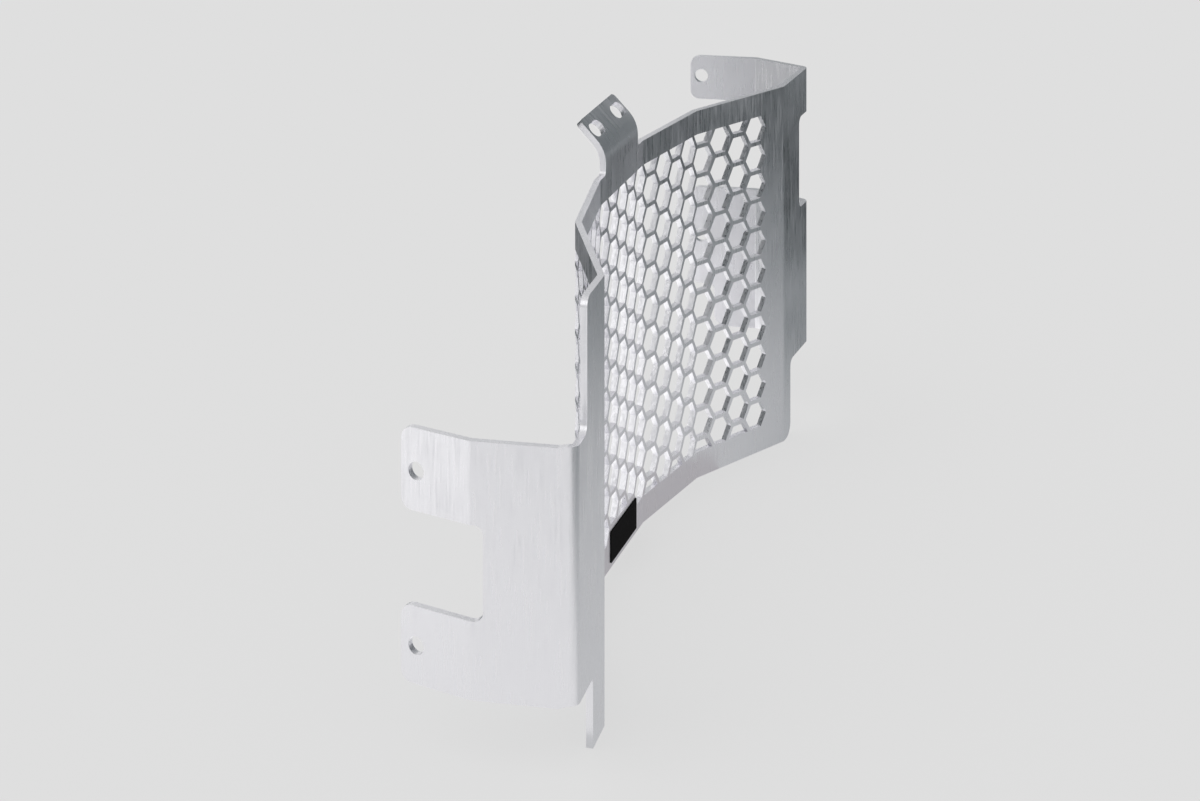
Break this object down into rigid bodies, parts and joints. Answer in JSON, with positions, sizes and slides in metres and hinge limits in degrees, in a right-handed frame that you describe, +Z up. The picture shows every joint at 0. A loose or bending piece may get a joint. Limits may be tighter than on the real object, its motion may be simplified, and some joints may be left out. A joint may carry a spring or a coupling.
{
  "type": "motorcycle radiator guard",
  "caption": "Folded aluminium sheet guard with a honeycomb grille, side flanges with screw tabs and a slotted top tab.",
  "frame": {"origin": "middle of the panel's bottom edge, halfway through the sheet of the centre facet", "axes": "+X from the left flange to the right flange, +Y rearward to the radiator, +Z up"},
  "size_m": [0.3801, 0.0761, 0.2123],
  "materials": {
    "brushed_aluminium": "brushed",
    "black_foil": "satin"
  },
  "bodies": {
    "root": {"radiator_guard": "brushed_aluminium", "nameplate": "black_foil"}
  },
  "joints": []
}
